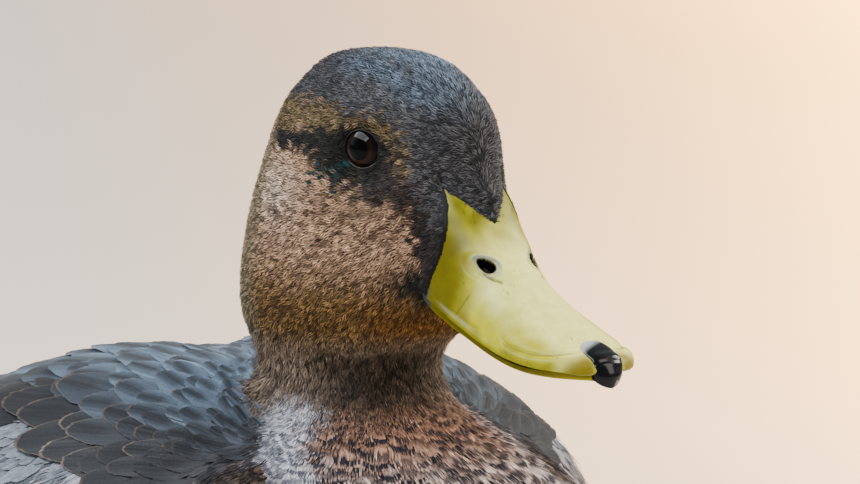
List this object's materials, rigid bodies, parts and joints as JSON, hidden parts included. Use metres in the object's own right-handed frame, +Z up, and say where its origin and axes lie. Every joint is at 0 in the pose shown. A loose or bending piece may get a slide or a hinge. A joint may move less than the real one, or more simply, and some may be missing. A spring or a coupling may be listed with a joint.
{
  "type": "mallard duck model",
  "caption": "Life-size still mallard duck standing on webbed feet, with a broad flat bill, neck drawn in and head turned slightly to one side.",
  "frame": {"origin": "on the floor under the middle of the model's bounding box", "axes": "+Z up; the bird faces -Y and its left side is at +X"},
  "size_m": [0.167, 0.4166, 0.276],
  "materials": {
    "brown_feather": "soft speckled brown plumage",
    "rust_feather": "soft spotted cinnamon plumage",
    "grey_feather": "smooth slate vanes with buff edges",
    "dark_feather": "smooth blackish vanes",
    "pale_feather": "pale vanes with brown centres",
    "bill_horn": "satin yellow-olive horn",
    "nail_horn": "glossy black horn",
    "eye": "wet dark brown",
    "leg_skin": "scaled orange skin"
  },
  "bodies": {
    "root": {"head": "brown_feather", "neck": "brown_feather", "trunk": "rust_feather", "rump": "dark_feather", "wing_left": "grey_feather", "wing_right": "grey_feather", "primaries_left": "dark_feather", "primaries_right": "dark_feather", "tail": "pale_feather", "thigh_left": "brown_feather", "thigh_right": "brown_feather", "shank_left": "leg_skin", "shank_right": "leg_skin", "foot_left": "leg_skin", "foot_right": "leg_skin", "upper_bill": "bill_horn", "lower_bill": "bill_horn", "bill_nail": "nail_horn", "eye_left": "eye", "eye_right": "eye"}
  },
  "joints": []
}
